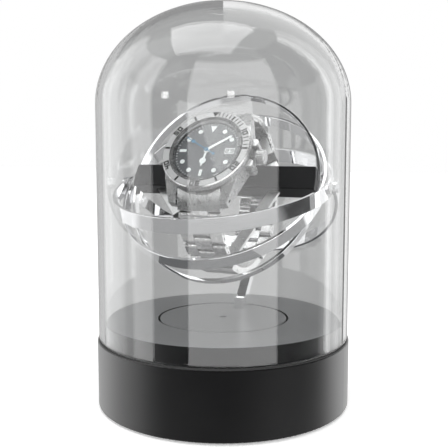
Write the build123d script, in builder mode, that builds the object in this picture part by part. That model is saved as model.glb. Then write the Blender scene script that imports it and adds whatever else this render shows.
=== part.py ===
from build123d import *
from math import atan2, cos, degrees, hypot, pi, radians, sin
import os

os.makedirs("parts", exist_ok=True)

# ---------------------------------------------------------------- driving dimensions (mm)
BASE_R = 60.0
BASE_WALL = 3.0
FOOT_Z = 1.0
RIM_Z = 31.6
DECK_R = 56.0
DECK_Z = 40.3
DECK_T = 3.0
DISC_R = 30.4
DISC_HOLE_R = 31.4
DISC_T = 3.2
SCREW_RING = 53.4
FOOT_RING = 44.0

GLASS_R = 59.3
GLASS_T = 2.5
GLASS_Z = 32.2
GLASS_SHOULDER_Z = 141.0
GLASS_CROWN = 47.0

HUB_Z = 103.5
RING_T = 1.4
RING_EDGE = 0.12
OUTER_RING = dict(radius=52.3, width=6.8, tilt=16.0)
MIDDLE_RING = dict(radius=49.8, width=6.2, tilt=40.5)
INNER_RING = dict(radius=47.6, width=4.4, tilt=64.4)

ARM_IN = 53.3
ARM_T = 1.4
ARM_W = 6.0
ARM_DROP = 38.5
STEM_W = 4.8
STEM_T = 4.0
FOOT_Y = 21.6
FOOT_D = 6.0
FOOT_H = 5.7

PIN_R = 1.2
RUN_FIT = 0.04
BUSH_R = 1.9
FLANGE_R = 2.3
FLANGE_T = 0.4
PIN_HEAD_T = 0.5

BAR = 11.0
BAR_RISE = 2.6
CLIP_T = 1.5
CLIP_W = 5.0
CLIP_UP = 27.6
CLIP_DOWN = 38.2
CLIP_LEFT = 39.4
CLIP_RIGHT = 31.0
CLIP_FLAT = 9.0
SLEEVE_AT = 0.55
SLEEVE_L = 5.0
WATCH_TILT = 53.8
WATCH_AT = (6.6, -5.3, -1.2)

LOOP_A = 35.5
LOOP_B = 34.5
LOOP_C = 2.5
LINK_T = 3.0
LINK_PITCH = 7.0
BAND_HALF = 9.6
SIDE_W = 5.6
SIDE_IN = 4.0
CENTRE_W = 7.7
END_HALF = 9.9
CLASP_HALF = 8.4
BLADE_HALF = 7.0

CASE_R = 19.9
CASE_Z = 28.5
CASE_TOP = 35.5
LUG_Y = 23.8
LUG_GAP = 20.4
SPRING_BAR_Y = 21.4
SPRING_BAR_Z = 30.9
DIAL_R = 15.3
DIAL_TOP = 36.0
CRYSTAL_Z = 37.7
CRYSTAL_R = 16.45
CROWN_Z = 32.2
DATE_X = 10.4
DATE_W = 4.4
DATE_H = 2.8
DATE_DIGIT_H = 1.6
HOUR_RING = 11.6
BEZEL_R = 20.0
BEZEL_TOP = 38.6
INSERT_OUT = 19.4
INSERT_IN = 16.7
MARK_RING = (INSERT_OUT + INSERT_IN) / 2
MARK_H = 2.3
DIGIT_H = 1.85

PLATE_TOP = 20.5
PLATE_T = 2.5
POST_R = 3.6
POST_RING = 49.0
SPINDLE_R = 4.0
GEAR_MODULE = 0.8
GEAR_TEETH = 48
PINION_TEETH = 16
GEAR_Z = 12.5
GEAR_T = 4.0
BRIDGE_R = 52.0
COLLAR_R = 8.2
COLLAR_H = 12.5
SLEEVE_R = 6.0
SPINDLE_HEAD_Z = PLATE_TOP + COLLAR_H + 0.9
SPINDLE_HEAD_R = 12.6
DISC_SCREW_RING = 10.4
MOTOR_R = 12.0
MOTOR_H = 7.0
GEARBOX_H = 6.5
MOTOR_SCREW_X = 10.0
SHAFT_R = 1.5
BOARD_Z = 6.0
BOARD_T = 1.6
BOARD_POSTS = ((-19, 31), (19, 31))
BACK_X = 12.0
BACK_Z = 12.0
MOTOR_GAP = GEAR_MODULE * (GEAR_TEETH + PINION_TEETH) / 2

# ---------------------------------------------------------------- frames
HUB = (0, 0, HUB_Z)


def ring_plane(tilt):
    """Plane through the hub, leaning towards the front about the pivot line."""
    return Plane(origin=HUB, x_dir=(1, 0, 0), z_dir=(0, -sin(radians(tilt)), cos(radians(tilt))))


def pole_plane(side, reach):
    """Plane square to the pivot line, at a distance out from the hub on one side."""
    return Plane(origin=(side * reach, 0, HUB_Z), x_dir=(0, 1, 0), z_dir=(side, 0, 0))


HOLD = ring_plane(INNER_RING["tilt"])
CLIP = ring_plane(WATCH_TILT)
WATCH = Plane(origin=CLIP.from_local_coords(WATCH_AT), x_dir=CLIP.x_dir, z_dir=CLIP.z_dir)
WATCH_AXIS = Axis(WATCH.origin, WATCH.z_dir)
LOOP = Plane(origin=WATCH.origin, x_dir=WATCH.y_dir, z_dir=WATCH.x_dir)
ARM = Plane(
    origin=HUB, x_dir=(1, 0, 0), z_dir=(0, sin(radians(ARM_DROP)), cos(radians(ARM_DROP)))
)
ARM_SECTION = Plane(origin=HUB, x_dir=ARM.y_dir, z_dir=(1, 0, 0))
ARM_BACK = Plane(origin=HUB, x_dir=(1, 0, 0), z_dir=ARM.y_dir)


def finish(builder, name):
    builder.part.label = name
    export_step(builder.part, f"parts/{name}.step")


def tube(plane, outer, inner, height):
    """Add a straight tube that stands on the given plane."""
    with BuildSketch(plane) as wall:
        Circle(outer)
        Circle(inner, mode=Mode.SUBTRACT)
    extrude(wall.sketch, amount=height)


def bore(plane, radius, depth, spots=((0, 0),)):
    """Drill round holes from the given plane."""
    with BuildSketch(plane) as hole:
        with Locations(*spots):
            Circle(radius)
    extrude(hole.sketch, amount=depth, mode=Mode.SUBTRACT)


def peg(plane, radius, length, spots=((0, 0),)):
    """Add round pegs that stand on the given plane."""
    with BuildSketch(plane) as end:
        with Locations(*spots):
            Circle(radius)
    extrude(end.sketch, amount=length)


# ---------------------------------------------------------------- base housing
with BuildPart() as base_shell:
    with BuildSketch(Plane.XZ):
        with BuildLine():
            Polyline(
                (DISC_HOLE_R, DECK_Z),
                (DECK_R, DECK_Z),
                (DECK_R, RIM_Z),
                (BASE_R, RIM_Z),
                (BASE_R, FOOT_Z),
                (BASE_R - BASE_WALL, FOOT_Z),
                (BASE_R - BASE_WALL, RIM_Z - BASE_WALL),
                (DECK_R - BASE_WALL, RIM_Z - BASE_WALL),
                (DECK_R - BASE_WALL, DECK_Z - DECK_T),
                (DISC_HOLE_R, DECK_Z - DECK_T),
                close=True,
            )
        make_face()
    revolve(axis=Axis.Z)
    rims = base_shell.edges().filter_by(GeomType.CIRCLE)
    fillet(rims.filter_by(lambda e: abs(e.radius - BASE_R) < 0.01), radius=0.5)
    fillet(
        rims.filter_by(lambda e: abs(e.radius - DECK_R) < 0.01 and e.center().Z > RIM_Z + 1),
        radius=0.4,
    )
    with BuildSketch(Plane.XY.offset(PLATE_TOP)):
        with PolarLocations(POST_RING, 4, start_angle=45):
            Circle(POST_R)
    extrude(until=Until.NEXT)
    with BuildSketch(Plane.XY.offset(PLATE_TOP)):
        with PolarLocations(POST_RING, 4, start_angle=45):
            Circle(1.2)
    extrude(amount=7, mode=Mode.SUBTRACT)
    with BuildSketch(Plane.XY.offset(3.0)):
        with PolarLocations(SCREW_RING, 4, start_angle=45):
            Circle(3.4)
            with Locations((2, 0)):
                Rectangle(4, 6.8)
    extrude(amount=7)
    with BuildSketch(Plane.XY.offset(3.0)):
        with PolarLocations(SCREW_RING, 4, start_angle=45):
            Circle(1.0)
    extrude(amount=5, mode=Mode.SUBTRACT)
    with BuildSketch(Plane.XZ.offset(-(BASE_R + 1))):
        with Locations((-BACK_X, BACK_Z)):
            Circle(4.2)
        with Locations((BACK_X, BACK_Z)):
            Circle(3.6)
    extrude(amount=BASE_WALL + 5, mode=Mode.SUBTRACT)
finish(base_shell, "base_shell")

with BuildPart() as bottom_plate:
    with BuildSketch(Plane.XY.offset(FOOT_Z)):
        Circle(BASE_R - BASE_WALL - 0.2)
    extrude(amount=2.0)
    with BuildSketch(Plane.XY.offset(FOOT_Z)):
        with PolarLocations(FOOT_RING, 4, start_angle=60):
            Circle(6.1)
    extrude(amount=0.9, mode=Mode.SUBTRACT)
    with BuildSketch(Plane.XY.offset(FOOT_Z)):
        with PolarLocations(SCREW_RING, 4, start_angle=45):
            Circle(1.0)
        with PolarLocations(27, 24):
            SlotOverall(8, 1.6)
    extrude(amount=2.0, mode=Mode.SUBTRACT)
    with BuildSketch(Plane.XY.offset(FOOT_Z)):
        with PolarLocations(SCREW_RING, 4, start_angle=45):
            Circle(2.0)
    extrude(amount=1.0, mode=Mode.SUBTRACT)
finish(bottom_plate, "bottom_plate")

with BuildPart() as rubber_feet:
    with BuildSketch():
        with PolarLocations(FOOT_RING, 4, start_angle=60):
            Circle(6.0)
    extrude(amount=1.9)
    chamfer(rubber_feet.edges().group_by(Axis.Z)[0], length=0.4)
finish(rubber_feet, "rubber_feet")

with BuildPart() as bottom_screws:
    with BuildSketch(Plane.XY.offset(FOOT_Z)):
        with PolarLocations(SCREW_RING, 4, start_angle=45):
            Circle(1.9)
    extrude(amount=1.0)
    with BuildSketch(Plane.XY.offset(FOOT_Z + 1.0)):
        with PolarLocations(SCREW_RING, 4, start_angle=45):
            Circle(0.95)
    extrude(amount=5.5)
    with BuildSketch(Plane.XY.offset(FOOT_Z)):
        with PolarLocations(SCREW_RING, 4, start_angle=45):
            Rectangle(2.4, 0.5)
            Rectangle(0.5, 2.4)
    extrude(amount=0.5, mode=Mode.SUBTRACT)
finish(bottom_screws, "bottom_screws")

# ---------------------------------------------------------------- glass bell


def dome_curve(radius, crown):
    """Quarter of the domed top, from the shoulder up to the crown."""
    steps = [k * pi / 24 for k in range(13)]
    points = [(radius * cos(a), GLASS_SHOULDER_Z + crown * sin(a)) for a in steps]
    Spline(*points, tangents=((0, 1), (-1, 0)))


with BuildPart() as dome:
    inner_r = GLASS_R - GLASS_T
    inner_crown = GLASS_CROWN - GLASS_T
    with BuildSketch(Plane.XZ):
        with BuildLine():
            Polyline(
                (GLASS_R, GLASS_SHOULDER_Z),
                (GLASS_R, GLASS_Z),
                (inner_r, GLASS_Z),
                (inner_r, GLASS_SHOULDER_Z),
            )
            dome_curve(GLASS_R, GLASS_CROWN)
            dome_curve(inner_r, inner_crown)
            Line((0, GLASS_SHOULDER_Z + inner_crown), (0, GLASS_SHOULDER_Z + GLASS_CROWN))
        make_face()
    revolve(axis=Axis.Z)
    fillet(dome.edges().group_by(Axis.Z)[0], radius=0.8)
finish(dome, "dome")

with BuildPart() as dome_seal:
    tube(Plane.XY.offset(RIM_Z), GLASS_R - 0.1, GLASS_R - GLASS_T + 0.1, GLASS_Z - RIM_Z)
finish(dome_seal, "dome_seal")

# ---------------------------------------------------------------- drive train inside the base


def gear_outline(teeth, turn):
    """Straight-flanked spur gear face, a tooth centred on the given direction."""
    pitch = GEAR_MODULE * teeth / 2
    corners = []
    for tooth in range(teeth):
        mid = turn + 360 * tooth / teeth
        for share, reach in ((-0.34, -1.15), (-0.12, 0.85), (0.12, 0.85), (0.34, -1.15)):
            angle = radians(mid + share * 360 / teeth)
            radius = pitch + reach * GEAR_MODULE
            corners.append((radius * cos(angle), radius * sin(angle)))
    Polyline(*corners, close=True)


MOTOR_AT = (0, -MOTOR_GAP)
MOTOR_SCREW_SPOTS = ((MOTOR_SCREW_X, -MOTOR_GAP), (-MOTOR_SCREW_X, -MOTOR_GAP))
FOOT_SCREW_SPOTS = ((0, FOOT_Y - 1.6), (0, FOOT_Y + 1.6))

with BuildPart() as bridge_plate:
    with BuildSketch(Plane.XY.offset(PLATE_TOP - PLATE_T)):
        Circle(BRIDGE_R)
        with Locations((0, 45)):
            Rectangle(56, 40, mode=Mode.SUBTRACT)
        with Locations(MOTOR_AT):
            Circle(3.6, mode=Mode.SUBTRACT)
        with Locations(*MOTOR_SCREW_SPOTS):
            Circle(1.1, mode=Mode.SUBTRACT)
        with PolarLocations(POST_RING, 4, start_angle=45):
            Circle(1.3, mode=Mode.SUBTRACT)
    extrude(amount=PLATE_T)
    with BuildSketch(Plane.XY.offset(PLATE_TOP)):
        Circle(COLLAR_R)
    extrude(amount=COLLAR_H)
    with BuildSketch(Plane.XY.offset(PLATE_TOP - PLATE_T)):
        Circle(SLEEVE_R)
    extrude(amount=PLATE_T + COLLAR_H, mode=Mode.SUBTRACT)
finish(bridge_plate, "bridge_plate")

with BuildPart() as chassis_screws:
    with BuildSketch(Plane.XY.offset(PLATE_TOP - PLATE_T - 1.6)):
        with PolarLocations(POST_RING, 4, start_angle=45):
            Circle(2.4)
    extrude(amount=1.6)
    with BuildSketch(Plane.XY.offset(PLATE_TOP - PLATE_T)):
        with PolarLocations(POST_RING, 4, start_angle=45):
            Circle(1.15)
    extrude(amount=9)
    peg(Plane.XY.offset(PLATE_TOP - PLATE_T - 1.2), 1.8, 1.2, MOTOR_SCREW_SPOTS)
    peg(Plane.XY.offset(PLATE_TOP - PLATE_T), 0.95, 6.5, MOTOR_SCREW_SPOTS)
finish(chassis_screws, "chassis_screws")

with BuildPart() as spindle_bushes:
    tube(Plane.XY.offset(PLATE_TOP - PLATE_T), SLEEVE_R, SPINDLE_R + RUN_FIT, 5.5)
    tube(Plane.XY.offset(PLATE_TOP + COLLAR_H - 5.0), SLEEVE_R, SPINDLE_R + RUN_FIT, 5.0)
    tube(Plane.XY.offset(PLATE_TOP + COLLAR_H), 7.6, SPINDLE_R + RUN_FIT, 0.8)
finish(spindle_bushes, "spindle_bushes")

with BuildPart() as spindle:
    with BuildSketch(Plane.XY.offset(GEAR_Z - 1.5)):
        Circle(SPINDLE_R)
    extrude(amount=DECK_Z - DISC_T - GEAR_Z + 1.5)
    with BuildSketch(Plane.XY.offset(SPINDLE_HEAD_Z)):
        Circle(SPINDLE_HEAD_R)
        with PolarLocations(DISC_SCREW_RING, 3, start_angle=30):
            Circle(1.1, mode=Mode.SUBTRACT)
    extrude(amount=DECK_Z - DISC_T - SPINDLE_HEAD_Z)
finish(spindle, "spindle")

with BuildPart() as turntable:
    with BuildSketch(Plane.XY.offset(DECK_Z - DISC_T)):
        Circle(DISC_R)
    extrude(amount=DISC_T)
    chamfer(turntable.edges().group_by(Axis.Z)[-1], length=0.25)
    with BuildSketch(Plane.XY.offset(DECK_Z)):
        Circle(1.8)
    extrude(amount=-1.2, mode=Mode.SUBTRACT)
    with BuildSketch(Plane.XY.offset(DECK_Z - DISC_T)):
        with PolarLocations(DISC_SCREW_RING, 3, start_angle=30):
            Circle(1.1)
    extrude(amount=2.2, mode=Mode.SUBTRACT)
    bore(Plane.XY.offset(DECK_Z - DISC_T), 0.8, DISC_T, FOOT_SCREW_SPOTS)
finish(turntable, "turntable")

with BuildPart() as drive_gear:
    with BuildSketch(Plane.XY.offset(GEAR_Z)):
        with BuildLine():
            gear_outline(GEAR_TEETH, 360 / GEAR_TEETH / 2 - 90)
        make_face()
        Circle(SPINDLE_R, mode=Mode.SUBTRACT)
        with PolarLocations(11.4, 6):
            Circle(3.1, mode=Mode.SUBTRACT)
    extrude(amount=GEAR_T)
finish(drive_gear, "drive_gear")

with BuildPart() as gear_clip:
    tube(Plane.XY.offset(GEAR_Z - 1.2), 5.6, SPINDLE_R, 1.2)
finish(gear_clip, "gear_clip")

with BuildPart() as gearmotor:
    with BuildSketch(Plane.XY.offset(PLATE_TOP)):
        with Locations(MOTOR_AT):
            Circle(MOTOR_R)
            RectangleRounded(26, 7, 3)
            Circle(SHAFT_R + RUN_FIT, mode=Mode.SUBTRACT)
        with Locations(*MOTOR_SCREW_SPOTS):
            Circle(1.0, mode=Mode.SUBTRACT)
    extrude(amount=GEARBOX_H)
    with BuildSketch(Plane.XY.offset(PLATE_TOP + GEARBOX_H)):
        with Locations(MOTOR_AT):
            Circle(MOTOR_R - 0.6)
    extrude(amount=MOTOR_H)
    fillet(gearmotor.edges().group_by(Axis.Z)[-1], radius=1.0)
finish(gearmotor, "gearmotor")

with BuildPart() as motor_shaft:
    with BuildSketch(Plane.XY.offset(GEAR_Z - 0.5)):
        with Locations(MOTOR_AT):
            Circle(SHAFT_R)
    extrude(amount=PLATE_TOP + 5 - GEAR_Z)
finish(motor_shaft, "motor_shaft")

with BuildPart() as pinion:
    with BuildSketch(Plane((0, -MOTOR_GAP, GEAR_Z))):
        with BuildLine():
            gear_outline(PINION_TEETH, 90)
        make_face()
        Circle(SHAFT_R, mode=Mode.SUBTRACT)
    extrude(amount=GEAR_T)
finish(pinion, "pinion")

# ---------------------------------------------------------------- electrics at the back
with BuildPart() as control_board:
    with BuildSketch(Plane.XY.offset(BOARD_Z)):
        with Locations((0, 38)):
            Rectangle(44, 22)
        with Locations((0, 50.5)):
            Rectangle(34, 4)
        with Locations(*BOARD_POSTS):
            Circle(1.3, mode=Mode.SUBTRACT)
    extrude(amount=BOARD_T)
finish(control_board, "control_board")

with BuildPart() as board_parts:
    with BuildSketch(Plane.XY.offset(BOARD_Z + BOARD_T)):
        with Locations((0, 38)):
            Rectangle(9, 9)
        with Locations((-11, 33)):
            Rectangle(6, 4)
        with Locations((11, 33)):
            Circle(2.6)
    extrude(amount=2.4)
finish(board_parts, "board_parts")

with BuildPart() as board_posts:
    with BuildSketch(Plane.XY.offset(FOOT_Z + 2.0)):
        with Locations(*BOARD_POSTS):
            Circle(2.4)
    extrude(amount=3.0)
    with BuildSketch(Plane.XY.offset(BOARD_Z)):
        with Locations(*BOARD_POSTS):
            Circle(1.25)
    extrude(amount=2.6)
finish(board_posts, "board_posts")

INLET_AT = (-BACK_X, -BACK_Z)
BUTTON_AT = (BACK_X, -BACK_Z)


def back_plane(distance):
    """Plane behind the axis, facing out of the back of the base."""
    return Plane(origin=(0, distance, 0), x_dir=(1, 0, 0), z_dir=(0, 1, 0))


def housing(spot, start, depth):
    """Small moulded block that stands on the board."""
    with BuildSketch(back_plane(start)) as block:
        with Locations(spot):
            Rectangle(9, 8.8)
    extrude(block.sketch, amount=depth)


with BuildPart() as power_inlet:
    housing(INLET_AT, 43.5, 10.8)
    peg(back_plane(54.3), 4.1, 4.5, [INLET_AT])
    bore(back_plane(58.8), 2.9, -10, [INLET_AT])
    peg(back_plane(48.8), 1.0, 8.5, [INLET_AT])
finish(power_inlet, "power_inlet")

with BuildPart() as switch_body:
    housing(BUTTON_AT, 44.5, 9.0)
    bore(back_plane(53.5), 2.1, -6, [BUTTON_AT])
finish(switch_body, "switch_body")

with BuildPart() as push_button:
    peg(back_plane(49.2), 2.05, 6.0, [BUTTON_AT])
    peg(back_plane(55.2), 3.5, 5.0, [BUTTON_AT])
    fillet(push_button.edges().group_by(Axis.Y)[-1], radius=0.5)
finish(push_button, "push_button")

# ---------------------------------------------------------------- rotating arm
STEM_IN = ARM_IN - 0.4
STEM_FOOT = -30.0
ARM_SCREW_SPOTS = ((0, -1.6), (0, 1.6))

with BuildPart() as arm_stem:
    with BuildSketch(ARM_SECTION.offset(-STEM_W / 2)):
        with BuildLine():
            Polyline(
                (STEM_IN, STEM_FOOT - 6),
                (STEM_IN, -ARM_W / 2),
                (ARM_IN + ARM_T, -ARM_W / 2),
                (ARM_IN + ARM_T, ARM_W / 2),
                (STEM_IN + STEM_T, ARM_W / 2),
                (STEM_IN + STEM_T, STEM_FOOT - 6),
                close=True,
            )
        make_face()
    extrude(amount=STEM_W)
    with BuildSketch(Plane.XY.offset(DECK_Z + FOOT_H)):
        Rectangle(60, 120)
    extrude(amount=-20, mode=Mode.SUBTRACT)
    with BuildSketch(Plane.XY.offset(DECK_Z)):
        with Locations((0, FOOT_Y)):
            Rectangle(STEM_W, FOOT_D)
    extrude(amount=FOOT_H)
    fillet(arm_stem.edges().filter_by(Axis.Z), radius=0.5)
    bore(Plane.XY.offset(DECK_Z), 0.8, 4.5, FOOT_SCREW_SPOTS)
    bore(ARM_BACK.offset(ARM_IN), 0.7, STEM_T, ARM_SCREW_SPOTS)
finish(arm_stem, "arm_stem")

with BuildPart() as rotor_screws:
    peg(ARM_BACK.offset(ARM_IN + 0.4), 0.65, STEM_IN + STEM_T - ARM_IN - 0.4, ARM_SCREW_SPOTS)
    peg(ARM_BACK.offset(STEM_IN + STEM_T), 1.2, 0.8, ARM_SCREW_SPOTS)
    peg(Plane.XY.offset(DECK_Z - DISC_T - 1.0), 1.4, 1.0, FOOT_SCREW_SPOTS)
    peg(Plane.XY.offset(DECK_Z - DISC_T), 0.75, DISC_T + 4.2, FOOT_SCREW_SPOTS)
    with BuildSketch(Plane.XY.offset(SPINDLE_HEAD_Z - 1.2)):
        with PolarLocations(DISC_SCREW_RING, 3, start_angle=30):
            Circle(1.8)
    extrude(amount=1.2)
    with BuildSketch(Plane.XY.offset(SPINDLE_HEAD_Z)):
        with PolarLocations(DISC_SCREW_RING, 3, start_angle=30):
            Circle(1.05)
    extrude(amount=5.2)
finish(rotor_screws, "rotor_screws")

with BuildPart() as arm_bow:
    with BuildSketch(ARM.offset(-ARM_W / 2)):
        Circle(ARM_IN + ARM_T)
        Circle(ARM_IN, mode=Mode.SUBTRACT)
        with Locations((0, -ARM_IN)):
            Rectangle(3 * ARM_IN, 2 * ARM_IN, mode=Mode.SUBTRACT)
    extrude(amount=ARM_W)
    for side in (1, -1):
        peg(pole_plane(side, ARM_IN), ARM_W / 2 + 0.4, ARM_T)
        bore(pole_plane(side, ARM_IN - 1), PIN_R, ARM_T + 2)
    bore(ARM_BACK.offset(ARM_IN - 1), 0.65, ARM_T + 2, ARM_SCREW_SPOTS)
finish(arm_bow, "arm_bow")

# ---------------------------------------------------------------- pivot line through the three rings
PIN_END = INNER_RING["radius"] - RING_T - 4.0

with BuildPart() as pivot_pins:
    for side in (1, -1):
        peg(pole_plane(side, PIN_END), PIN_R, ARM_IN + ARM_T - PIN_END)
        peg(pole_plane(side, ARM_IN + ARM_T), 2.0, PIN_HEAD_T)
        with BuildSketch(pole_plane(side, ARM_IN + ARM_T + PIN_HEAD_T)):
            Rectangle(3.2, 0.5)
        extrude(amount=-0.25, mode=Mode.SUBTRACT)
finish(pivot_pins, "pivot_pins")


def bush_pair(ring):
    """Two flanged bearing bushes in the wall of one ring, flange outwards."""
    outer = ring["radius"]
    for side in (1, -1):
        tube(pole_plane(side, outer - RING_T), BUSH_R, PIN_R + RUN_FIT, RING_T)
        tube(pole_plane(side, outer), FLANGE_R, PIN_R + RUN_FIT, FLANGE_T)


def ring_band(ring):
    """Flat polished hoop with a bearing hole at each end of the pivot line."""
    outer = ring["radius"]
    half = ring["width"] / 2
    tube(ring_plane(ring["tilt"]).offset(-half), outer, outer - RING_T, ring["width"])
    chamfer(edges().filter_by(GeomType.CIRCLE), length=RING_EDGE)
    for side in (1, -1):
        bore(pole_plane(side, outer - RING_T - 1), BUSH_R, RING_T + 2)


with BuildPart() as outer_ring:
    ring_band(OUTER_RING)
finish(outer_ring, "outer_ring")

with BuildPart() as outer_ring_bushes:
    bush_pair(OUTER_RING)
finish(outer_ring_bushes, "outer_ring_bushes")

with BuildPart() as middle_ring:
    ring_band(MIDDLE_RING)
finish(middle_ring, "middle_ring")

with BuildPart() as middle_ring_bushes:
    bush_pair(MIDDLE_RING)
finish(middle_ring_bushes, "middle_ring_bushes")

BAR_SCREW_SPOTS = ((3.6, 0), (6.6, 0))
BAR_SCREW_SEAT = 46.9


def bar_face(side, reach):
    """Plane square to the pivot line, turned to suit the square holder bar."""
    return Plane(origin=(side * reach, 0, HUB_Z), x_dir=HOLD.y_dir, z_dir=(side, 0, 0))


with BuildPart() as inner_ring:
    ring_band(INNER_RING)
    for side in (1, -1):
        bore(bar_face(side, 40), 0.7, 10, BAR_SCREW_SPOTS)
        bore(bar_face(side, BAR_SCREW_SEAT), 1.15, 3, BAR_SCREW_SPOTS)
finish(inner_ring, "inner_ring")

with BuildPart() as inner_ring_bushes:
    bush_pair(INNER_RING)
finish(inner_ring_bushes, "inner_ring_bushes")

with BuildPart() as pivot_washers:
    for ring, outside in (
        (OUTER_RING, ARM_IN),
        (MIDDLE_RING, OUTER_RING["radius"] - RING_T),
        (INNER_RING, MIDDLE_RING["radius"] - RING_T),
    ):
        inside = ring["radius"] + FLANGE_T
        for side in (1, -1):
            tube(pole_plane(side, inside + RUN_FIT), 2.1, PIN_R, outside - inside - 2 * RUN_FIT)
finish(pivot_washers, "pivot_washers")

# ---------------------------------------------------------------- watch holder


FLAT_LEFT = WATCH_AT[0] - CLIP_FLAT
FLAT_RIGHT = WATCH_AT[0] + CLIP_FLAT
CLIP_LEGS = (
    ((-CLIP_LEFT, BAR_RISE), (FLAT_LEFT, CLIP_UP)),
    ((CLIP_RIGHT, BAR_RISE), (FLAT_RIGHT, CLIP_UP)),
    ((CLIP_RIGHT, BAR_RISE), (FLAT_RIGHT, -CLIP_DOWN)),
    ((-CLIP_LEFT, BAR_RISE), (FLAT_LEFT, -CLIP_DOWN)),
)

with BuildPart() as clip_frame:
    with BuildSketch(CLIP.offset(-CLIP_T / 2)):
        with BuildLine():
            Polyline(
                (-CLIP_LEFT, BAR_RISE),
                (FLAT_LEFT, CLIP_UP),
                (FLAT_RIGHT, CLIP_UP),
                (CLIP_RIGHT, BAR_RISE),
                (FLAT_RIGHT, -CLIP_DOWN),
                (FLAT_LEFT, -CLIP_DOWN),
                close=True,
            )
        make_face()
        offset(amount=-CLIP_W, kind=Kind.INTERSECTION, mode=Mode.SUBTRACT)
    extrude(amount=CLIP_T)
finish(clip_frame, "clip_frame")

with BuildPart() as holder_bar:
    with BuildSketch(HOLD.offset(-BAR / 2)):
        with Locations((0, BAR_RISE)):
            Rectangle(2 * INNER_RING["radius"], BAR)
    extrude(amount=BAR)
    chamfer(holder_bar.edges().filter_by(Axis.X), length=0.25)
    with BuildSketch(HOLD.offset(-BAR)):
        Circle(INNER_RING["radius"] - RING_T)
    extrude(amount=2 * BAR, mode=Mode.INTERSECT)
    for side in (1, -1):
        bore(pole_plane(side, PIN_END - 1), PIN_R + 0.1, 10)
        bore(bar_face(side, 40), 0.6, 10, BAR_SCREW_SPOTS)
    add(clip_frame.part, mode=Mode.SUBTRACT)
finish(holder_bar, "holder_bar")

with BuildPart() as bar_screws:
    for side in (1, -1):
        peg(bar_face(side, 40.5), 0.58, BAR_SCREW_SEAT - 40.5, BAR_SCREW_SPOTS)
        peg(bar_face(side, BAR_SCREW_SEAT), 1.1, 0.9, BAR_SCREW_SPOTS)
finish(bar_screws, "bar_screws")


def sleeve_place(start, end):
    """Middle of a rubber sleeve on one leg of the clip frame, turned along the leg."""
    leg = Vector(*end) - Vector(*start)
    middle = Vector(*start) + leg * SLEEVE_AT
    across = Vector(-leg.Y, leg.X).normalized()
    inward = across if across.dot(middle) < 0 else -across
    return Location(middle + inward * CLIP_W / 2, (0, 0, degrees(atan2(leg.Y, leg.X))))


with BuildPart() as clip_sleeves:
    with BuildSketch(CLIP.offset(-CLIP_T / 2 - 0.5)):
        with Locations(*[sleeve_place(start, end) for start, end in CLIP_LEGS]):
            Rectangle(SLEEVE_L, CLIP_W + 1.0)
    extrude(amount=CLIP_T + 1.0)
    add(clip_frame.part, mode=Mode.SUBTRACT)
    add(holder_bar.part, mode=Mode.SUBTRACT)
finish(clip_sleeves, "clip_sleeves")

with BuildPart() as clip_pads:
    with BuildSketch(CLIP.offset(-3.5)):
        with Locations((WATCH_AT[0], CLIP_UP - 0.95), (WATCH_AT[0], 0.95 - CLIP_DOWN)):
            RectangleRounded(13, 3.0, 0.6)
    extrude(amount=7.0)
    add(clip_frame.part, mode=Mode.SUBTRACT)
finish(clip_pads, "clip_pads")

# ---------------------------------------------------------------- watch case
with BuildPart() as watch_case:
    with BuildSketch(WATCH.offset(CASE_Z)):
        Circle(CASE_R)
        with BuildLine():
            Polyline(
                (LUG_GAP / 2, 0),
                (LUG_GAP / 2, LUG_Y),
                (LUG_GAP / 2 + 3.2, LUG_Y - 0.4),
                (LUG_GAP / 2 + 5.6, 15.5),
                (LUG_GAP / 2 + 8.6, 6.0),
                (LUG_GAP / 2 + 8.6, 0),
                close=True,
            )
        make_face()
        mirror(about=Plane.XZ)
        mirror(about=Plane.YZ)
        Circle(CASE_R)
        for side in (1, -1):
            with Locations((CASE_R - 0.5, side * 5.2)):
                RectangleRounded(4.8, 3.6, 1.5)
    extrude(amount=CASE_TOP - CASE_Z)
    for side in (1, -1):
        tip = Plane(
            origin=WATCH.from_local_coords((0, side * 14.0, CASE_TOP)),
            x_dir=WATCH.x_dir,
            z_dir=WATCH.z_dir * cos(radians(20)) + WATCH.y_dir * side * sin(radians(20)),
        )
        with BuildSketch(tip):
            with Locations((0, 10 * (1 if tip.y_dir.dot(WATCH.y_dir) * side > 0 else -1))):
                Rectangle(60, 20)
        extrude(amount=8, mode=Mode.SUBTRACT)
    peg(WATCH.offset(CASE_TOP), 16.5, CRYSTAL_Z - CASE_TOP)
    bore(WATCH.offset(CASE_Z), DIAL_R - 0.6, DIAL_TOP - CASE_Z - 0.4)
    bore(WATCH.offset(DIAL_TOP - 0.4), DIAL_R, 3)
    with BuildSketch(LOOP.offset(-20)):
        with Locations((SPRING_BAR_Y, SPRING_BAR_Z), (-SPRING_BAR_Y, SPRING_BAR_Z)):
            Circle(0.7)
    extrude(amount=40, mode=Mode.SUBTRACT)
    with BuildSketch(LOOP.offset(CASE_R - 7)):
        with Locations((0, CROWN_Z)):
            Circle(1.1)
    extrude(amount=12, mode=Mode.SUBTRACT)
finish(watch_case, "watch_case")

with BuildPart() as case_back:
    peg(WATCH.offset(CASE_Z - 1.6), 15.6, 1.6)
    peg(WATCH.offset(CASE_Z), DIAL_R - 0.65, 1.2)
    bore(WATCH.offset(CASE_Z - 1.6), 0.9, 0.6, [(14 * cos(k), 14 * sin(k)) for k in range(6)])
finish(case_back, "case_back")

DIGIT_WIDTH = 0.78
DIGIT_STROKE = 0.31
SEGMENTS = {"0": "abcdef", "1": "bc", "2": "abged", "3": "abgcd", "4": "fgbc", "5": "afgcd"}


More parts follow.
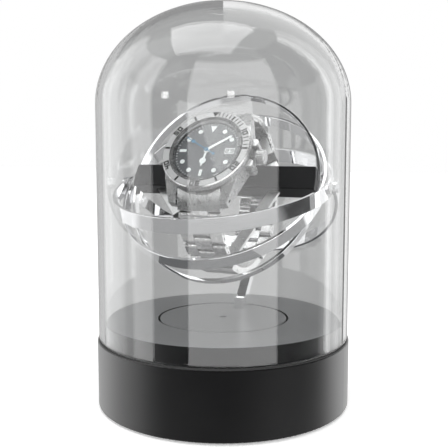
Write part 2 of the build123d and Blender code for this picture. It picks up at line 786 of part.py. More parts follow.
def numeral(digits, height):
    """Block numerals drawn from straight strokes, centred on the current place."""
    width = DIGIT_WIDTH * height
    stroke = DIGIT_STROKE * height
    level = {"a": height / 2, "g": 0, "d": -height / 2}
    post = {"b": (width / 2, 1), "c": (width / 2, -1), "e": (-width / 2, -1), "f": (-width / 2, 1)}
    for place, digit in enumerate(digits):
        shift = (place - (len(digits) - 1) / 2) * (width + 1.9 * stroke)
        for segment in SEGMENTS[digit]:
            if segment in level:
                with Locations((shift, level[segment])):
                    Rectangle(width + stroke, stroke)
            else:
                across, up = post[segment]
                with Locations((shift + across, up * height / 4)):
                    Rectangle(stroke, height / 2 + stroke)


with BuildPart() as movement:
    peg(WATCH.offset(CASE_Z + 1.2), 12.8, DIAL_TOP - CASE_Z - 1.6)
    peg(WATCH.offset(DIAL_TOP - 0.4), 0.8, 1.0)
    peg(WATCH.offset(DIAL_TOP + 0.6), 0.55, 0.5)
    peg(WATCH.offset(DIAL_TOP + 1.1), 0.3, 0.4)
finish(movement, "movement")

with BuildPart() as dial:
    peg(WATCH.offset(DIAL_TOP - 0.4), DIAL_R, 0.4)
    bore(WATCH.offset(DIAL_TOP - 0.4), 0.8, 0.4)
    with BuildSketch(WATCH.offset(DIAL_TOP)):
        with Locations((DATE_X, 0)):
            Rectangle(DATE_W, DATE_H)
    extrude(amount=-0.2, mode=Mode.SUBTRACT)
finish(dial, "dial")

with BuildPart() as date_window:
    with BuildSketch(WATCH.offset(DIAL_TOP - 0.2)):
        with Locations((DATE_X, 0)):
            Rectangle(DATE_W, DATE_H)
    extrude(amount=0.22)
finish(date_window, "date_window")

with BuildPart() as date_digits:
    with BuildSketch(WATCH.offset(DIAL_TOP + 0.02)):
        with Locations((DATE_X, 0)):
            numeral("23", DATE_DIGIT_H)
    extrude(amount=0.05)
finish(date_digits, "date_digits")

with BuildPart() as chapter_ring:
    tube(WATCH.offset(DIAL_TOP), DIAL_R - 0.02, 14.6, CRYSTAL_Z - DIAL_TOP)
    lip = edges().filter_by(GeomType.CIRCLE).group_by(SortBy.RADIUS)[0]
    chamfer(lip.sort_by(WATCH_AXIS)[-1], length=0.5)
finish(chapter_ring, "chapter_ring")

with BuildPart() as hour_marks:
    with BuildSketch(WATCH.offset(DIAL_TOP)):
        for hour in (1, 2, 4, 5, 7, 8, 10, 11):
            angle = radians(90 - 30 * hour)
            with Locations((HOUR_RING * cos(angle), HOUR_RING * sin(angle))):
                Circle(1.05)
        with Locations((-11.4, 0)):
            Rectangle(3.2, 1.3)
        with Locations((0, -11.4)):
            Rectangle(1.3, 3.2)
        with BuildLine():
            Polyline((-1.5, 13.0), (1.5, 13.0), (0, 9.8), close=True)
        make_face()
    extrude(amount=0.25)
    with BuildSketch(WATCH.offset(DIAL_TOP)):
        with PolarLocations(14.0, 60):
            Rectangle(0.8, 0.18)
    extrude(amount=0.03)
finish(hour_marks, "hour_marks")

with BuildPart() as crystal:
    peg(WATCH.offset(CRYSTAL_Z), CRYSTAL_R, 1.5)
    chamfer(crystal.faces().sort_by(WATCH_AXIS)[-1].edges(), length=0.3)
finish(crystal, "crystal")



def clock_direction(minutes):
    """Unit vector on the dial for a number of minutes past twelve."""
    angle = radians(90 - 6 * minutes)
    return cos(angle), sin(angle)


def hand_blade(minutes, width, tail, tip):
    """Tapered blade along the dial direction for a number of minutes past twelve."""
    dx, dy = clock_direction(minutes)
    side_x, side_y = -dy * width / 2, dx * width / 2
    with BuildLine() as blade:
        Polyline(
            (side_x - tail * dx, side_y - tail * dy),
            (side_x + tip * dx, side_y + tip * dy),
            ((tip + width) * dx, (tip + width) * dy),
            (-side_x + tip * dx, -side_y + tip * dy),
            (-side_x - tail * dx, -side_y - tail * dy),
            close=True,
        )
    return blade.line


HOUR_NOW = 30.8
MINUTE_NOW = 9.0
SECOND_NOW = 50.0

with BuildPart() as hour_hand:
    with BuildSketch(WATCH.offset(DIAL_TOP + 0.35)):
        make_face(hand_blade(HOUR_NOW, 0.9, 0, 7.4).edges())
        dx, dy = clock_direction(HOUR_NOW)
        with Locations((5.4 * dx, 5.4 * dy)):
            Circle(1.5)
        Circle(1.3)
        Circle(0.8 + RUN_FIT, mode=Mode.SUBTRACT)
    extrude(amount=0.2)
finish(hour_hand, "hour_hand")

with BuildPart() as minute_hand:
    with BuildSketch(WATCH.offset(DIAL_TOP + 0.8)):
        make_face(hand_blade(MINUTE_NOW, 1.1, 0, 11.6).edges())
        Circle(1.1)
        Circle(0.55 + RUN_FIT, mode=Mode.SUBTRACT)
    extrude(amount=0.2)
finish(minute_hand, "minute_hand")

with BuildPart() as second_hand:
    with BuildSketch(WATCH.offset(DIAL_TOP + 1.25)):
        make_face(hand_blade(SECOND_NOW, 0.4, 5.0, 12.0).edges())
        dx, dy = clock_direction(SECOND_NOW)
        with Locations((8.2 * dx, 8.2 * dy)):
            Circle(0.85)
        with Locations((-4.6 * dx, -4.6 * dy)):
            Circle(0.6)
        Circle(0.9)
        Circle(0.3 + RUN_FIT, mode=Mode.SUBTRACT)
    extrude(amount=0.15)
finish(second_hand, "second_hand")

with BuildPart() as bezel:
    tube(WATCH.offset(CASE_TOP + 0.1), BEZEL_R, CRYSTAL_R + 0.1, BEZEL_TOP - CASE_TOP - 0.1)
    brim = bezel.edges().filter_by(GeomType.CIRCLE).group_by(SortBy.RADIUS)[-1]
    chamfer(brim.sort_by(WATCH_AXIS)[-1], length=0.5)
    with BuildSketch(WATCH.offset(CASE_TOP + 0.1)):
        with PolarLocations(BEZEL_R + 0.15, 90):
            Circle(0.38)
    extrude(amount=5, mode=Mode.SUBTRACT)
    with BuildSketch(WATCH.offset(BEZEL_TOP - 0.5)):
        Circle(INSERT_OUT)
        Circle(INSERT_IN, mode=Mode.SUBTRACT)
    extrude(amount=2, mode=Mode.SUBTRACT)
finish(bezel, "bezel")

with BuildPart() as bezel_insert:
    tube(WATCH.offset(BEZEL_TOP - 0.5), INSERT_OUT, INSERT_IN, 0.6)
finish(bezel_insert, "bezel_insert")

with BuildPart() as bezel_marks:
    with BuildSketch(WATCH.offset(BEZEL_TOP + 0.1)):
        with BuildLine():
            Polyline((-1.7, 19.2), (1.7, 19.2), (0, 16.9), close=True)
        make_face()
        for minutes in (10, 20, 30, 40, 50):
            dx, dy = clock_direction(minutes)
            with Locations(Location((MARK_RING * dx, MARK_RING * dy), -6 * minutes)):
                numeral(str(minutes), DIGIT_H)
        for minutes in (5, 15, 25, 35, 45, 55):
            dx, dy = clock_direction(minutes)
            with Locations(Location((MARK_RING * dx, MARK_RING * dy), -6 * minutes)):
                Rectangle(0.9, MARK_H)
        for minutes in (1, 2, 3, 4, 6, 7, 8, 12, 13, 14):
            dx, dy = clock_direction(minutes)
            with Locations(Location((MARK_RING * dx, MARK_RING * dy), -6 * minutes)):
                Rectangle(0.4, MARK_H)
    extrude(amount=0.06)
finish(bezel_marks, "bezel_marks")

with BuildPart() as crown:
    with BuildSketch(LOOP.offset(CASE_R + 1.7)):
        with Locations((0, CROWN_Z)):
            Circle(3.1)
            with PolarLocations(3.2, 20):
                Circle(0.28, mode=Mode.SUBTRACT)
    extrude(amount=3.4)
    with BuildSketch(LOOP.offset(CASE_R - 4.5)):
        with Locations((0, CROWN_Z)):
            Circle(1.05)
    extrude(amount=7.4)
finish(crown, "crown")

# ---------------------------------------------------------------- bracelet


def loop_point(angle, grow=0.0):
    """Point on the bracelet loop, in the plane across the wrist opening."""
    return (LOOP_A + grow) * cos(radians(angle)), LOOP_C + (LOOP_B + grow) * sin(radians(angle))


def loop_heading(angle):
    return degrees(atan2(LOOP_B * cos(radians(angle)), -LOOP_A * sin(radians(angle))))


def loop_bounds(start, stop, pitch):
    """Angles that share the loop between two angles out into equal link lengths."""
    steps = 400
    angles = [start + (stop - start) * k / steps for k in range(steps + 1)]
    reach = [0.0]
    for before, after in zip(angles, angles[1:]):
        (x0, y0), (x1, y1) = loop_point(before), loop_point(after)
        reach.append(reach[-1] + hypot(x1 - x0, y1 - y0))
    count = round(reach[-1] / pitch)
    bounds = []
    for k in range(count + 1):
        target = reach[-1] * k / count
        bounds.append(min(zip(reach, angles), key=lambda pair: abs(pair[0] - target))[1])
    return bounds


def band_sector(start, stop, low, high):
    """Face that follows the loop between two angles and two depths."""
    spread = [start + (stop - start) * k / 6 for k in range(7)]
    with BuildSketch() as sector:
        with BuildLine():
            outside = Spline(*[loop_point(angle, high) for angle in spread])
            inside = Spline(*[loop_point(angle, low) for angle in spread])
            Line(outside @ 0, inside @ 0)
            Line(outside @ 1, inside @ 1)
        make_face()
    return sector.sketch


END_LINK = (62.5, 46.5)
TOP_RUN = loop_bounds(46.3, -118.0, LINK_PITCH)
CLASP = (-118.4, -175.6)
LOW_RUN = loop_bounds(-176.0, -226.3, LINK_PITCH)
END_LINK_LOW = (-226.5, -242.5)
SEAM = 0.35
PIN_STEP = 2.6


def side_spots():
    """Middle of every side link: place and heading."""
    for run in (TOP_RUN, LOW_RUN):
        for before, after in zip(run, run[1:]):
            angle = (before + after) / 2
            yield Location(loop_point(angle), loop_heading(angle))


def centre_spots():
    """Middle of every centre link, half a step away from the side links."""
    for run in (TOP_RUN, LOW_RUN):
        for angle in run[1:-1]:
            yield Location(loop_point(angle), loop_heading(angle))


def link_faces(spots, pinned):
    """Rounded link profiles with their pin holes."""
    with BuildSketch() as faces:
        with Locations(*spots):
            RectangleRounded(LINK_PITCH - 0.25, LINK_T, 1.3)
        with Locations(*pinned):
            with Locations((PIN_STEP / 2, 0), (-PIN_STEP / 2, 0)):
                Circle(0.45, mode=Mode.SUBTRACT)
    return faces.sketch


SIDE_FACES = link_faces(list(side_spots()), list(side_spots()))
CENTRE_FACES = link_faces(list(centre_spots()), list(side_spots()))

with BuildPart() as side_links:
    for inner_face in (BAND_HALF - SIDE_W, -BAND_HALF):
        extrude(LOOP.offset(inner_face) * SIDE_FACES, amount=SIDE_W)
finish(side_links, "side_links")

with BuildPart() as centre_links:
    extrude(LOOP.offset(-CENTRE_W / 2) * CENTRE_FACES, amount=CENTRE_W)
finish(centre_links, "centre_links")

with BuildPart() as bracelet_pins:
    with BuildSketch(LOOP.offset(-8.6)):
        with Locations(*side_spots()):
            with Locations((PIN_STEP / 2, 0), (-PIN_STEP / 2, 0)):
                Circle(0.43)
    extrude(amount=17.2)
    with BuildSketch(LOOP.offset(-12.4)):
        with Locations((SPRING_BAR_Y, SPRING_BAR_Z), (-SPRING_BAR_Y, SPRING_BAR_Z)):
            Circle(0.68)
    extrude(amount=24.8)
finish(bracelet_pins, "bracelet_pins")

with BuildPart() as end_links:
    for start, stop in (END_LINK, END_LINK_LOW):
        whole = band_sector(start, stop, -LINK_T / 2, LINK_T / 2)
        extrude(LOOP.offset(-END_HALF) * whole, amount=2 * END_HALF)
        for edge in (-SIDE_IN, SIDE_IN):
            groove = band_sector(start, stop, LINK_T / 2 - SEAM, LINK_T)
            extrude(LOOP.offset(edge - SEAM / 2) * groove, amount=SEAM, mode=Mode.SUBTRACT)
    bore(WATCH.offset(CASE_Z - 5), CASE_R + 0.1, 20)
    with BuildSketch(LOOP.offset(-20)):
        with Locations((SPRING_BAR_Y, SPRING_BAR_Z), (-SPRING_BAR_Y, SPRING_BAR_Z)):
            Circle(0.7)
    extrude(amount=40, mode=Mode.SUBTRACT)
finish(end_links, "end_links")

with BuildPart() as clasp_cover:
    extrude(LOOP.offset(-CLASP_HALF) * band_sector(*CLASP, 0.4, 1.9), amount=2 * CLASP_HALF)
    for edge in (-CLASP_HALF, CLASP_HALF - 1.2):
        extrude(LOOP.offset(edge) * band_sector(*CLASP, -1.5, 0.5), amount=1.2)
finish(clasp_cover, "clasp_cover")

with BuildPart() as clasp_blade:
    extrude(LOOP.offset(-BLADE_HALF) * band_sector(*CLASP, -1.4, 0.35), amount=2 * BLADE_HALF)
finish(clasp_blade, "clasp_blade")
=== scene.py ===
"""Looks for the watch winder: a glass bell on a black drum, with polished rings turning round a watch."""

import math

import bpy
from mathutils import Matrix, Vector

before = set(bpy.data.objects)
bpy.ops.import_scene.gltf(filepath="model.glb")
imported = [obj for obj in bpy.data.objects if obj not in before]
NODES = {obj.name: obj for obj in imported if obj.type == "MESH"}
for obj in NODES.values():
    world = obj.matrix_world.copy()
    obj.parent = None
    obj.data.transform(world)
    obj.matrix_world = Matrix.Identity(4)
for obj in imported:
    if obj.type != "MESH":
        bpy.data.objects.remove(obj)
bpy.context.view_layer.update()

MM = 0.001

# Camera, standing in front of the winder and a little to its right, looking slightly down.
CAMERA_AZIMUTH = math.radians(24.0)
CAMERA_DISTANCE = 350 * MM
CAMERA_HEIGHT = 122.4 * MM
CAMERA_PITCH = math.radians(6.08)
CAMERA_LENS = 59.22
CAMERA_SENSOR = 36.0
CAMERA_SHIFT = 0.0018

TOWARD = Vector((math.sin(CAMERA_AZIMUTH), -math.cos(CAMERA_AZIMUTH), 0))
RIGHT = Vector((math.cos(CAMERA_AZIMUTH), math.sin(CAMERA_AZIMUTH), 0))

# The studio round the object. Each panel is: left, right, bottom, top, radiance, softness of its edge.
# Its angles are in degrees: across from the camera's side to the right, and up from the horizon.
WALL_RADIANCE = 0.40
PANELS = {
    "back_left_low": (-180, -134, -90, 24, 0.58, 2.0),
    "back_left_high": (-180, -134, 24, 90, 0.32, 2.0),
    "back_right": (128, 180, -90, 90, 0.9, 2.0),
    "left_far": (-134, -98, -90, 46, 1.25, 0.5),
    "left_seam": (-98, -87, -90, 46, 0.9, 0.5),
    "left_bright": (-87, -64.5, -90, 46, 2.1, 0.5),
    "front_left_dark": (-64.5, -30.6, -90, 58, 0.05, 0.3),
    "front_bright": (-30.6, 48.6, -90, 50, 2.2, 0.3),
    "front_right_dark": (48.6, 96.5, -90, 62, 0.06, 0.3),
    "right_edge": (96.5, 104, -90, 60, 0.5, 0.5),
    "right_bright": (104, 112, -90, 60, 2.6, 0.5),
    "right_far": (112, 128, -90, 60, 1.4, 0.5),
    "backdrop": (-180, -168, -60, 24, 0.42, 2.0),
    "backdrop_right": (158, 180, -60, 24, 0.42, 2.0),
    "table_front": (-134, 128, -90, -22, 0.52, 4.0),
    "lamp_left": (-54.2, -48.2, 4.6, 11.2, 7.0, 0.3),
    "lamp_right": (3.5, 9.5, 5.0, 12.2, 7.0, 0.3),
}

# A panel that ends straight behind runs past it, so that no seam shows there.
BEHIND = 180
PAST_BEHIND = 200

# The least softness of a panel's top and bottom edges.
LEAST_SOFT = 1.0

# The softbox above, in metres from the middle of the base.
CEILING_HEIGHT = 1.16
CEILING_SIZE = 0.81
CEILING_RIGHT = -0.19
CEILING_TOWARD = 0.106
CEILING_TURN = math.radians(15)
CEILING_WATTS = 4.4

# How strong the black lacquer's edge sheen is, and how fast it climbs.
SHEEN = 0.55
SHEEN_POWER = 1.8

FLOOR_SIZE = 6.0
FLOOR_GLOW = 0.35

# A face of the base is a level top face when its normal rises more than this, above this height.
LEVEL = 0.9
DECK_LEVEL = 35 * MM


def new_tree(name):
    """A new material and its empty node tree."""
    made = bpy.data.materials.new(name)
    made.use_nodes = True
    tree = made.node_tree
    tree.nodes.clear()
    return made, tree


def node(tree, kind, inputs=None, **settings):
    """Adds a node; inputs maps an input's name or number to a value or to a socket that feeds it."""
    made = tree.nodes.new(kind)
    for key, value in settings.items():
        setattr(made, key, value)
    for key, value in (inputs or {}).items():
        socket = made.inputs[key]
        if isinstance(value, bpy.types.NodeSocket):
            tree.links.new(value, socket)
        else:
            socket.default_value = value
    return made


def math_node(tree, operation, a, b=0.0):
    """The result of one sum on sockets or numbers."""
    return node(tree, "ShaderNodeMath", {0: a, 1: b}, operation=operation).outputs[0]


def noise(tree, scale, stretch=(1, 1, 1), detail=4.0):
    """Noise in the object's own metres, in cycles per metre, stretched along its axes."""
    place = node(tree, "ShaderNodeTexCoord").outputs["Object"]
    mapped = node(tree, "ShaderNodeMapping", {"Vector": place, "Scale": stretch})
    pattern = {"Vector": mapped.outputs[0], "Scale": scale, "Detail": detail}
    return node(tree, "ShaderNodeTexNoise", pattern).outputs["Fac"]


def spread(tree, value, low, high, start=0.3, stop=0.7):
    """Maps a noise value onto low..high."""
    limits = {"Value": value, "From Min": start, "From Max": stop, "To Min": low, "To Max": high}
    return node(tree, "ShaderNodeMapRange", limits).outputs[0]


def tint(tree, value, dark, light):
    """A colour between two, by a value from 0 to 1. A mix node's sockets 6 and 7 are its colours."""
    inputs = {0: value, 6: (*dark, 1), 7: (*light, 1)}
    return node(tree, "ShaderNodeMix", inputs, data_type="RGBA").outputs[2]


def bump(tree, height, depth, normal=None):
    """Bump of a real depth in metres, on top of any normals given."""
    inputs = {"Height": height, "Distance": depth, "Strength": 1.0}
    if normal is not None:
        inputs["Normal"] = normal
    return node(tree, "ShaderNodeBump", inputs).outputs[0]


def rounded(tree, radius):
    """Normals that round off sharp edges by a small radius."""
    return node(tree, "ShaderNodeBevel", {"Radius": radius}, samples=4).outputs[0]


def principled(tree, **inputs):
    """The whole surface as one principled shader, its inputs named with underscores for spaces."""
    names = {key.replace("_", " "): value for key, value in inputs.items()}
    shader = node(tree, "ShaderNodeBsdfPrincipled", names)
    node(tree, "ShaderNodeOutputMaterial", {"Surface": shader.outputs[0]})


def lacquer(name, colour, roughness, depth=0.004 * MM, gloss=0.25):
    """Satin lacquer or moulding: a fine grain with a slow drift of sheen."""
    made, tree = new_tree(name)
    fine = noise(tree, scale=1 / (0.35 * MM), detail=3)
    slow = noise(tree, scale=60)
    light = tuple(min(1, c * 1.35 + 0.002) for c in colour)
    drift = spread(tree, slow, roughness - 0.03, roughness + 0.03)
    principled(
        tree,
        Base_Color=tint(tree, slow, colour, light),
        Roughness=math_node(tree, "ADD", drift, spread(tree, fine, -0.02, 0.02)),
        Specular_IOR_Level=gloss,
        Normal=bump(tree, fine, depth, rounded(tree, radius=0.25 * MM)),
    )
    return made


def sheened(name, colour, roughness):
    """Matt black lacquer whose sheen climbs towards its turned-away edges."""
    made = lacquer(name, colour, roughness, gloss=0.03)
    tree = made.node_tree
    surface = tree.get_output_node("ALL").inputs["Surface"]
    body = surface.links[0].from_socket
    facing = node(tree, "ShaderNodeLayerWeight", {"Blend": 0.5}).outputs["Facing"]
    climb = math_node(tree, "MULTIPLY", math_node(tree, "POWER", facing, SHEEN_POWER), SHEEN)
    gloss = node(tree, "ShaderNodeBsdfGlossy", {"Color": (0.95, 0.95, 0.95, 1), "Roughness": 0.45})
    mixed = node(tree, "ShaderNodeMixShader", {0: climb, 1: body, 2: gloss.outputs[0]})
    tree.links.new(mixed.outputs[0], surface)
    return made


def mirror_steel(name, colour, roughness):
    """Polished strip: a mirror with faint hairlines and a slow waviness from rolling."""
    made, tree = new_tree(name)
    wave = noise(tree, scale=55, detail=1)
    haze = noise(tree, scale=900, detail=5)
    hair = noise(tree, scale=4000, stretch=(0.02, 1, 1), detail=2)
    cloud = spread(tree, haze, roughness * 0.5, roughness * 1.4)
    principled(
        tree,
        Base_Color=tint(tree, haze, tuple(c * 0.95 for c in colour), colour),
        Metallic=1.0,
        Roughness=math_node(tree, "ADD", cloud, spread(tree, hair, 0, 0.02, start=0.6, stop=0.8)),
        Normal=bump(tree, wave, 0.03 * MM, rounded(tree, radius=0.15 * MM)),
    )
    return made


def painted_hollow_shade(tree, reach, darkest):
    """Painted shade: 1 on open faces, falling towards a darkest value deep in gaps and hollows."""
    shade = node(tree, "ShaderNodeAmbientOcclusion", {"Distance": reach}, samples=8).outputs["AO"]
    return spread(tree, shade, darkest, 1.0, start=0.15, stop=0.85)


def satin_steel(name, colour, roughness, open_face=False):
    """Brushed steel: fine straight grain, and painted shade that darkens its gaps with depth unless it is
    one open face.
    """
    made, tree = new_tree(name)
    grain = noise(tree, scale=14000, stretch=(1, 0.05, 0.05), detail=2)
    patch = noise(tree, scale=300, detail=3)
    tone = tint(tree, grain, tuple(c * 0.95 for c in colour), colour)
    edges = None
    if not open_face:
        # Painted shade: in gaps and hollows the colour is mixed towards near black.
        painted_shade = {0: painted_hollow_shade(tree, reach=5 * MM, darkest=0.22), 6: (0.02, 0.02, 0.02, 1), 7: tone}
        tone = node(tree, "ShaderNodeMix", painted_shade, data_type="RGBA").outputs[2]
        edges = rounded(tree, radius=0.12 * MM)
    brushed = spread(tree, grain, roughness - 0.03, roughness + 0.03)
    principled(
        tree,
        Base_Color=tone,
        Metallic=1.0,
        Roughness=math_node(tree, "ADD", brushed, spread(tree, patch, -0.02, 0.03)),
        Normal=bump(tree, grain, 0.0003 * MM, edges),
    )
    return made


def turned_steel(name, colour, roughness):
    """Lathe-turned or cast metal with a fine even grain."""
    made, tree = new_tree(name)
    grain = noise(tree, scale=5000)
    principled(
        tree,
        Base_Color=tint(tree, grain, tuple(c * 0.8 for c in colour), colour),
        Metallic=1.0,
        Roughness=spread(tree, grain, roughness - 0.05, roughness + 0.08),
        Normal=bump(tree, grain, 0.002 * MM, rounded(tree, radius=0.1 * MM)),
    )
    return made


def clear_glass(name, index):
    """Clear glass that still lets the studio light straight through to what it covers."""
    made, tree = new_tree(name)
    smear = noise(tree, scale=45, detail=3)
    glass = node(
        tree,
        "ShaderNodeBsdfPrincipled",
        {
            "Base Color": (0.985, 0.99, 0.99, 1),
            "Transmission Weight": 1.0,
            "IOR": index,
            "Roughness": spread(tree, smear, 0.0, 0.002),
        },
    )
    clear = node(tree, "ShaderNodeBsdfTransparent", {"Color": (0.93, 0.94, 0.94, 1)})
    path = node(tree, "ShaderNodeLightPath")
    lit = math_node(tree, "MAXIMUM", path.outputs["Is Shadow Ray"], path.outputs["Is Diffuse Ray"])
    mixed = node(tree, "ShaderNodeMixShader", {0: lit, 1: glass.outputs[0], 2: clear.outputs[0]})
    node(tree, "ShaderNodeOutputMaterial", {"Surface": mixed.outputs[0]})
    return made


def enamel(name, colour, roughness, gloss=0.5):
    """Print, paint or luminous compound, with a slightly uneven surface."""
    made, tree = new_tree(name)
    fine = noise(tree, scale=6000, detail=3)
    principled(
        tree,
        Base_Color=tint(tree, fine, tuple(c * 0.93 for c in colour), colour),
        Roughness=spread(tree, fine, roughness - 0.05, roughness + 0.08),
        Specular_IOR_Level=gloss,
        Normal=bump(tree, fine, 0.003 * MM),
    )
    return made


def rubber(name, colour):
    """Dull black rubber."""
    made, tree = new_tree(name)
    fine = noise(tree, scale=3500, detail=5)
    principled(
        tree,
        Base_Color=tint(tree, fine, colour, tuple(c * 1.8 for c in colour)),
        Roughness=spread(tree, fine, 0.65, 0.85),
        Normal=bump(tree, fine, 0.01 * MM),
    )
    return made


BLACK = (0.0035, 0.0035, 0.0038)
MATERIALS = {
    "case_black": sheened("case_black", BLACK, 0.42),
    # Painted sheen: the turntable and the base's level top faces are coloured grey for the light their
    # black top catches under the bell.
    "deck_painted_sheen": lacquer("deck_painted_sheen", (0.150, 0.150, 0.153), 0.38, depth=0.0015 * MM, gloss=0.4),
    "chassis_black": lacquer("chassis_black", (0.020, 0.020, 0.021), 0.35, gloss=0.5),
    "bar_black": lacquer("bar_black", (0.006, 0.006, 0.0065), 0.36, gloss=0.15),
    "plastic_black": lacquer("plastic_black", (0.015, 0.015, 0.015), 0.5, gloss=0.5),
    "rubber": rubber("rubber", (0.02, 0.02, 0.02)),
    "glass": clear_glass("glass", index=1.5),
    "crystal_glass": clear_glass("crystal_glass", index=1.4),
    "mirror": mirror_steel("mirror", (0.80, 0.80, 0.81), 0.03),
    "satin": satin_steel("satin", (0.80, 0.80, 0.80), 0.24),
    "case_satin": satin_steel("case_satin", (0.56, 0.56, 0.56), 0.28),
    "turned": turned_steel("turned", (0.62, 0.62, 0.63), 0.22),
    "bronze": turned_steel("bronze", (0.72, 0.47, 0.20), 0.3),
    "bush_white": lacquer("bush_white", (0.70, 0.70, 0.69), 0.4, gloss=0.5),
    "clip_steel": satin_steel("clip_steel", (0.86, 0.86, 0.86), 0.3),
    "can": turned_steel("can", (0.40, 0.41, 0.42), 0.35),
    "nylon": lacquer("nylon", (0.75, 0.74, 0.70), 0.45, gloss=0.5),
    "board": lacquer("board", (0.01, 0.09, 0.035), 0.3, gloss=0.6),
    "bezel_steel": satin_steel("bezel_steel", (0.60, 0.60, 0.60), 0.22),
    "insert": satin_steel("insert", (0.40, 0.40, 0.40), 0.5, open_face=True),
    "dial": lacquer("dial", (0.088, 0.089, 0.094), 0.36, gloss=0.12),
    "chapter": satin_steel("chapter", (0.55, 0.55, 0.56), 0.25),
    "lume": enamel("lume", (0.86, 0.87, 0.86), 0.5),
    "print_black": enamel("print_black", (0.008, 0.008, 0.008), 0.5, 0.05),
    "print_grey": enamel("print_grey", (0.20, 0.20, 0.20), 0.5, 0.05),
    "blue": enamel("blue", (0.005, 0.16, 0.30), 0.3, 0.2),
}

DRESS = {
    "case_black": ["base_shell"],
    "plastic_black": ["bottom_plate", "power_inlet", "switch_body", "push_button", "board_parts"],
    "rubber": ["rubber_feet", "dome_seal", "clip_pads", "clip_sleeves"],
    "turned": [
        "bottom_screws", "chassis_screws", "rotor_screws", "bar_screws", "pivot_pins", "pivot_washers",
        "motor_shaft", "gear_clip", "spindle", "bracelet_pins", "movement",
    ],
    "glass": ["dome"],
    "crystal_glass": ["crystal"],
    "chassis_black": ["bridge_plate"],
    "deck_painted_sheen": ["turntable"],
    "bar_black": ["holder_bar"],
    "bronze": ["spindle_bushes", "pinion"],
    "bush_white": ["outer_ring_bushes", "middle_ring_bushes", "inner_ring_bushes"],
    "clip_steel": ["clip_frame"],
    "nylon": ["drive_gear", "board_posts"],
    "can": ["gearmotor"],
    "board": ["control_board"],
    "mirror": ["arm_stem", "arm_bow", "outer_ring", "middle_ring", "inner_ring"],
    "case_satin": ["watch_case", "case_back", "crown", "end_links"],
    "satin": ["side_links", "centre_links", "clasp_cover", "clasp_blade"],
    "bezel_steel": ["bezel"],
    "insert": ["bezel_insert"],
    "print_black": ["bezel_marks"],
    "print_grey": ["date_digits"],
    "dial": ["dial"],
    "chapter": ["chapter_ring"],
    "lume": ["hour_marks", "date_window", "hour_hand", "minute_hand"],
    "blue": ["second_hand"],
}


def dress_nodes():
    """Gives every carried-over piece its material."""
    for material_name, names in DRESS.items():
        for name in names:
            mesh = NODES[name].data
            mesh.materials.clear()
            mesh.materials.append(MATERIALS[material_name])
            for polygon in mesh.polygons:
                polygon.material_index = 0


def paint_deck_sheen():
    """The base's level top faces get the turntable's grey, a painted sheen on the black lacquer; its walls
    stay black.
    """
    mesh = NODES["base_shell"].data
    mesh.materials.append(MATERIALS["deck_painted_sheen"])
    for polygon in mesh.polygons:
        if polygon.normal.z > LEVEL and polygon.center.z > DECK_LEVEL:
            polygon.material_index = 1


def make_floor():
    """Plain pale floor. The bell and the metal look past it to the studio walls."""
    made, tree = new_tree("floor_white")
    soft = noise(tree, scale=3, detail=3)
    principled(
        tree,
        Base_Color=tint(tree, soft, (0.93, 0.93, 0.93), (0.95, 0.95, 0.95)),
        Roughness=0.9,
        Specular_IOR_Level=0.1,
        Emission_Color=(1, 1, 1, 1),
        Emission_Strength=FLOOR_GLOW,
    )
    mesh = bpy.data.meshes.new("floor")
    half = FLOOR_SIZE / 2
    corners = [(-half, -half, 0), (half, -half, 0), (half, half, 0), (-half, half, 0)]
    mesh.from_pydata(corners, [], [(0, 1, 2, 3)])
    mesh.materials.append(made)
    floor = bpy.data.objects.new("floor", mesh)
    bpy.context.scene.collection.objects.link(floor)
    floor.visible_glossy = False
    floor.visible_transmission = False


def between(tree, value, low, high, soft):
    """1 where low < value < high, with an edge that fades over soft."""
    edge = soft / 2
    rise = {"Value": value, "From Min": low - edge, "From Max": low + edge}
    fall = {"Value": value, "From Min": high - edge, "From Max": high + edge, "To Min": 1.0, "To Max": 0.0}
    up = node(tree, "ShaderNodeMapRange", rise).outputs[0]
    down = node(tree, "ShaderNodeMapRange", fall).outputs[0]
    return math_node(tree, "MULTIPLY", up, down)


def along(tree, way, axis):
    """How far a direction goes along an axis."""
    return node(tree, "ShaderNodeVectorMath", {0: way, 1: axis}, operation="DOT_PRODUCT").outputs["Value"]


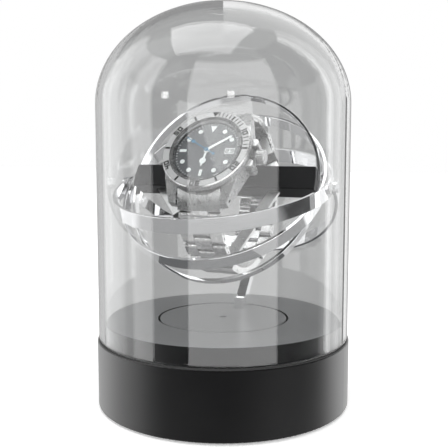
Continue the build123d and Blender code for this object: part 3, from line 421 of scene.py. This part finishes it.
def make_studio():
    """The studio's walls and panels as light from all round, and plain white behind the object."""
    world = bpy.data.worlds.new("studio")
    bpy.context.scene.world = world
    world.use_nodes = True
    tree = world.node_tree
    tree.nodes.clear()
    way = node(tree, "ShaderNodeTexCoord").outputs["Generated"]
    up = node(tree, "ShaderNodeSeparateXYZ", {0: way}).outputs["Z"]
    heading = math_node(tree, "ARCTAN2", along(tree, way, RIGHT), along(tree, way, TOWARD))
    turn = math_node(tree, "DEGREES", heading)
    rise = math_node(tree, "DEGREES", math_node(tree, "ARCSINE", up))
    light = WALL_RADIANCE
    for left, right, bottom, top, radiance, soft in PANELS.values():
        start = left if left > -BEHIND else -PAST_BEHIND
        stop = right if right < BEHIND else PAST_BEHIND
        wide = between(tree, turn, start, stop, soft)
        tall = between(tree, rise, bottom, top, max(soft, LEAST_SOFT))
        panel = {0: math_node(tree, "MULTIPLY", wide, tall), 2: light, 3: radiance}
        light = node(tree, "ShaderNodeMix", panel, data_type="FLOAT").outputs[0]
    lit = node(tree, "ShaderNodeBackground", {"Color": (1, 1, 1, 1), "Strength": light})
    white = node(tree, "ShaderNodeBackground", {"Color": (1, 1, 1, 1), "Strength": 1.0})
    seen = node(tree, "ShaderNodeLightPath").outputs["Is Camera Ray"]
    mixed = node(tree, "ShaderNodeMixShader", {0: seen, 1: lit.outputs[0], 2: white.outputs[0]})
    node(tree, "ShaderNodeOutputWorld", {"Surface": mixed.outputs[0]})


def make_ceiling_light():
    """A square softbox above the bell."""
    lamp = bpy.data.lights.new("ceiling_softbox", "AREA")
    lamp.shape = "SQUARE"
    lamp.size = CEILING_SIZE
    lamp.energy = CEILING_WATTS
    made = bpy.data.objects.new("ceiling_softbox", lamp)
    bpy.context.scene.collection.objects.link(made)
    spot = RIGHT * CEILING_RIGHT + TOWARD * CEILING_TOWARD + Vector((0, 0, CEILING_HEIGHT))
    made.matrix_world = Matrix.Translation(spot) @ Matrix.Rotation(CAMERA_AZIMUTH - CEILING_TURN, 4, "Z")
    made.visible_camera = False


def make_camera():
    """The camera, a little higher than the middle of the bell."""
    lens = bpy.data.cameras.new("camera")
    lens.sensor_width = CAMERA_SENSOR
    lens.lens = CAMERA_LENS
    lens.shift_x = CAMERA_SHIFT
    lens.clip_start = 0.01
    lens.clip_end = 50
    made = bpy.data.objects.new("camera", lens)
    bpy.context.scene.collection.objects.link(made)
    made.location = TOWARD * CAMERA_DISTANCE + Vector((0, 0, CAMERA_HEIGHT))
    made.rotation_euler = (math.pi / 2 - CAMERA_PITCH, 0, CAMERA_AZIMUTH)
    bpy.context.scene.camera = made


dress_nodes()
paint_deck_sheen()
make_floor()
make_studio()
make_ceiling_light()
make_camera()
bpy.context.scene.view_settings.view_transform = "Standard"
